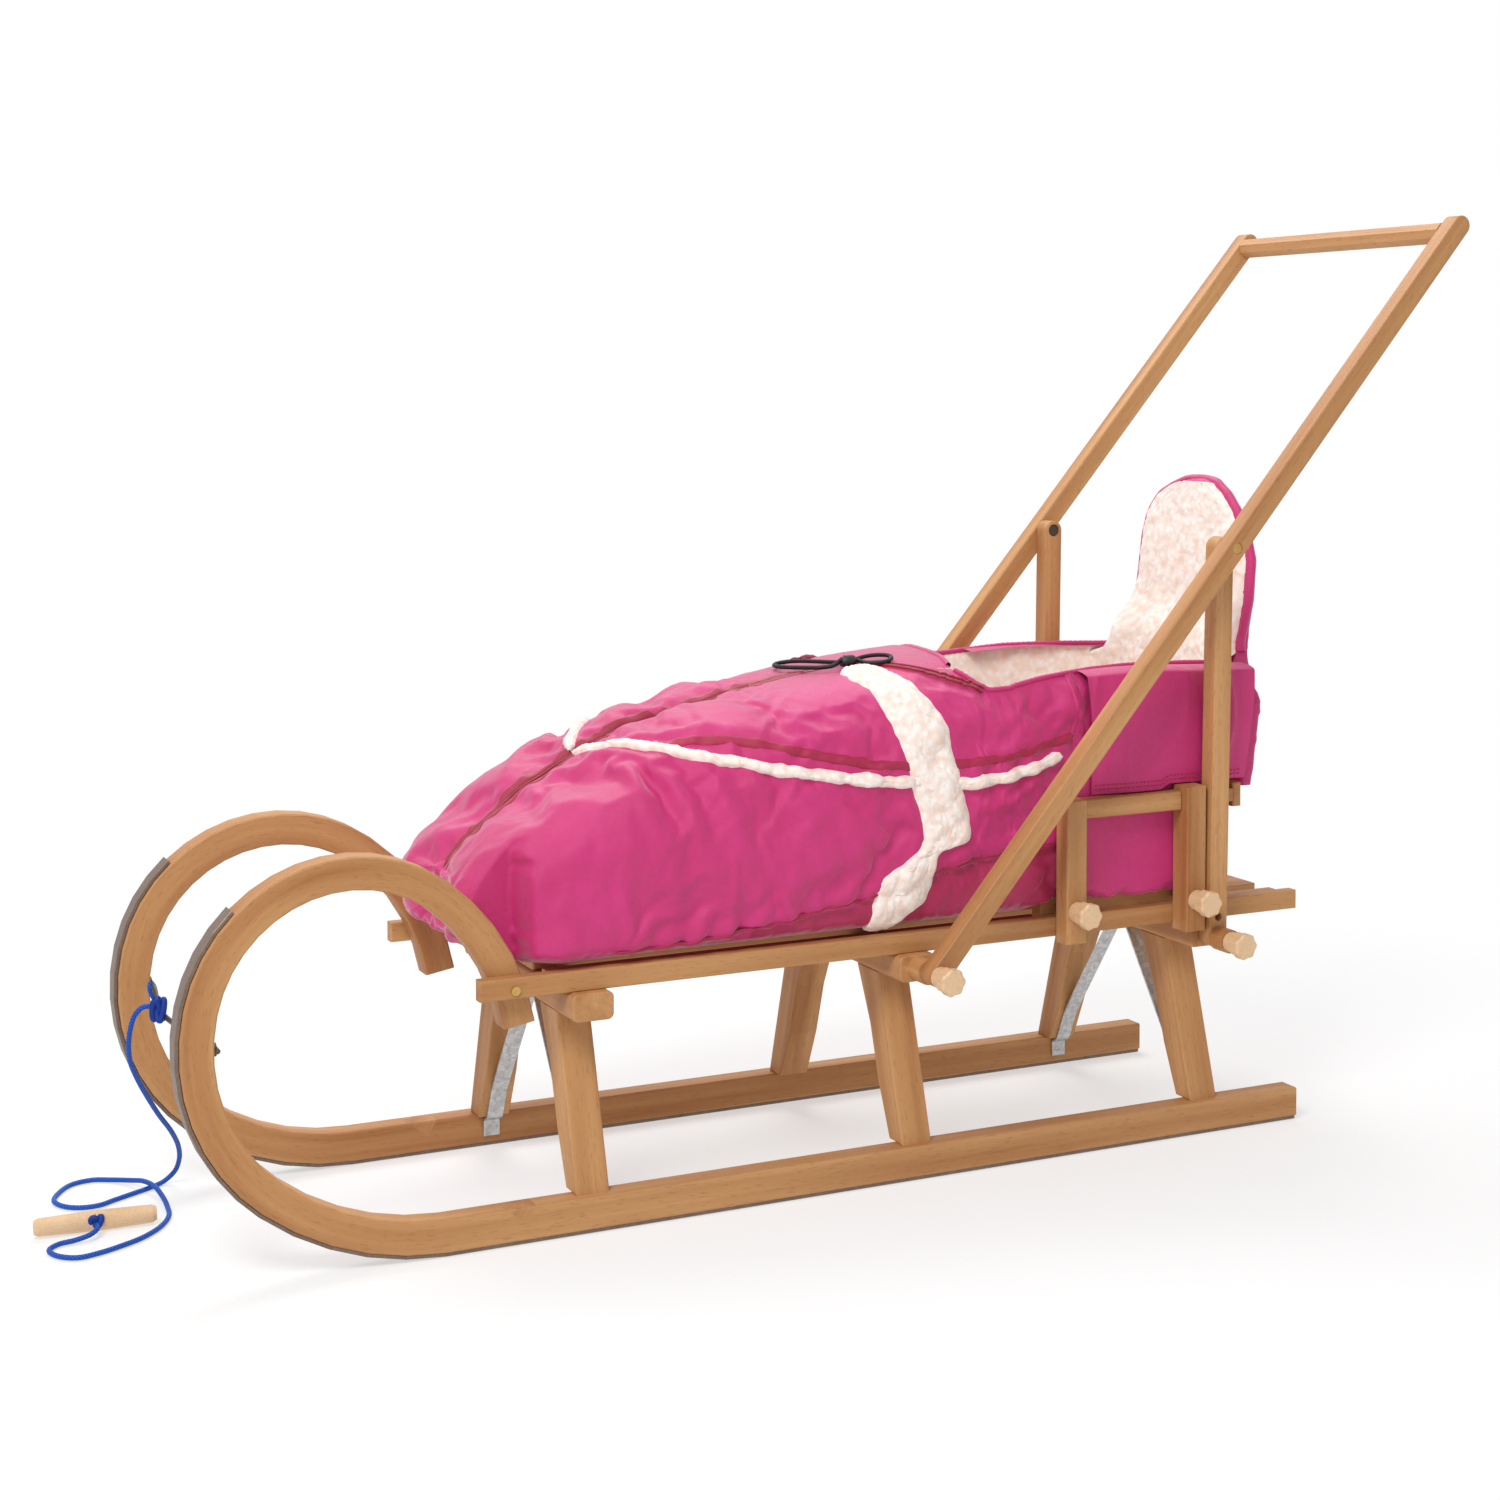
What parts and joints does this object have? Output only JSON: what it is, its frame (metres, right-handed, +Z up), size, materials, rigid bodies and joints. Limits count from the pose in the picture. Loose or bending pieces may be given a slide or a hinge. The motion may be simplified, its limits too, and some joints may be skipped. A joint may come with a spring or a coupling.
{
  "type": "baby pull sled",
  "caption": "Wooden horn sled with steel-shod curled runners, armrests, a folding push handle, a fleece-lined foot muff and a pull cord with a toggle.",
  "frame": {"origin": "middle of the sled's footprint on the ground, measured without the free cords", "axes": "+X towards the sled's left side, +Y towards the rear, where the handle leans, +Z up"},
  "size_m": [0.4612, 1.5365, 1.008],
  "materials": {
    "beech": "clear-lacquered beech",
    "leg_wood": "clear-lacquered beech",
    "turned_wood": "plain turned wood",
    "steel": "cold-rolled steel",
    "zinc": "galvanised",
    "brass": "satin",
    "shell_fabric": "pink woven nylon over fleece",
    "blue_cord": "braided cord",
    "black_cord": "braided cord",
    "black_plastic": "moulded"
  },
  "bodies": {
    "sled_frame": {"runner_left": "beech", "runner_right": "beech", "crossbar_front": "beech", "crossbar_middle": "beech", "crossbar_rear": "beech", "side_rail_left": "beech", "side_rail_right": "beech", "seat_slat_left": "beech", "seat_slat_centre": "beech", "seat_slat_right": "beech", "arm_post_front_left": "beech", "arm_post_front_right": "beech", "arm_post_rear_left": "beech", "arm_post_rear_right": "beech", "arm_bar_left": "beech", "arm_bar_right": "beech", "back_slat": "beech", "clamp_board_left": "beech", "clamp_board_right": "beech", "spacer_push_bar_left": "beech", "spacer_push_bar_right": "beech", "leg_front_left": "leg_wood", "leg_front_right": "leg_wood", "leg_middle_left": "leg_wood", "leg_middle_right": "leg_wood", "leg_rear_left": "leg_wood", "leg_rear_right": "leg_wood", "runner_shoe_left": "steel", "runner_shoe_right": "steel", "pull_bow": "steel", "strap_front_left": "zinc", "strap_front_right": "zinc", "strap_rear_left": "zinc", "strap_rear_right": "zinc", "horn_screw_left": "brass", "horn_screw_right": "brass", "toggle_handle": "turned_wood", "muff_body": "shell_fabric", "muff_hood": "shell_fabric", "pull_cord": "blue_cord", "cord_knot": "blue_cord", "muff_drawcord": "black_cord", "cord_stopper": "black_plastic"},
    "push_handle": {"push_bar_left": "beech", "push_bar_right": "beech", "cross_handle": "beech", "pivot_screw_left": "brass", "pivot_screw_right": "brass"},
    "strut_left_side": {"strut_left": "beech", "spacer_strut_left": "beech"},
    "strut_right_side": {"strut_right": "beech", "spacer_strut_right": "beech"},
    "knob_arm_front_left_body": {"knob_arm_front_left": "turned_wood"},
    "knob_arm_front_right_body": {"knob_arm_front_right": "turned_wood"},
    "knob_arm_rear_left_body": {"knob_arm_rear_left": "turned_wood"},
    "knob_arm_rear_right_body": {"knob_arm_rear_right": "turned_wood"},
    "knob_push_bar_left_body": {"knob_push_bar_left": "turned_wood"},
    "knob_push_bar_right_body": {"knob_push_bar_right": "turned_wood"},
    "knob_strut_left_body": {"knob_strut_left": "turned_wood"},
    "knob_strut_right_body": {"knob_strut_right": "turned_wood"}
  },
  "joints": [
    {"name": "handle_fold", "type": "hinge", "parent": "sled_frame", "child": "push_handle", "pos_m": [0, 0.03984, 0.21975], "axis": [1, 0, 0], "range_deg": [0, 131]},
    {"name": "strut_left_fold", "type": "hinge", "parent": "push_handle", "child": "strut_left_side", "pos_m": [0, 0.40628, 0.64413], "axis": [1, 0, 0], "range_deg": [0, 136.4]},
    {"name": "strut_right_fold", "type": "hinge", "parent": "push_handle", "child": "strut_right_side", "pos_m": [0, 0.40628, 0.64413], "axis": [1, 0, 0], "range_deg": [0, 136.4]},
    {"name": "knob_arm_front_left_turn", "type": "hinge", "parent": "sled_frame", "child": "knob_arm_front_left_body", "pos_m": [0, 0.22543, 0.2625], "axis": [1, 0, 0], "continuous": true},
    {"name": "knob_arm_front_right_turn", "type": "hinge", "parent": "sled_frame", "child": "knob_arm_front_right_body", "pos_m": [0, 0.22543, 0.2625], "axis": [1, 0, 0], "continuous": true},
    {"name": "knob_arm_rear_left_turn", "type": "hinge", "parent": "sled_frame", "child": "knob_arm_rear_left_body", "pos_m": [0, 0.37544, 0.2625], "axis": [1, 0, 0], "continuous": true},
    {"name": "knob_arm_rear_right_turn", "type": "hinge", "parent": "sled_frame", "child": "knob_arm_rear_right_body", "pos_m": [0, 0.37544, 0.2625], "axis": [1, 0, 0], "continuous": true},
    {"name": "knob_push_bar_left_turn", "type": "hinge", "parent": "sled_frame", "child": "knob_push_bar_left_body", "pos_m": [0, 0.03984, 0.21975], "axis": [1, 0, 0], "continuous": true},
    {"name": "knob_push_bar_right_turn", "type": "hinge", "parent": "sled_frame", "child": "knob_push_bar_right_body", "pos_m": [0, 0.03984, 0.21975], "axis": [1, 0, 0], "continuous": true},
    {"name": "knob_strut_left_turn", "type": "hinge", "parent": "strut_left_side", "child": "knob_strut_left_body", "pos_m": [0, 0.40103, 0.21975], "axis": [1, 0, 0], "continuous": true},
    {"name": "knob_strut_right_turn", "type": "hinge", "parent": "strut_right_side", "child": "knob_strut_right_body", "pos_m": [0, 0.40103, 0.21975], "axis": [1, 0, 0], "continuous": true}
  ],
  "couplings": [
    {"joint": "strut_left_fold", "follows": "handle_fold", "ratio": 1.041},
    {"joint": "strut_right_fold", "follows": "handle_fold", "ratio": 1.041}
  ]
}
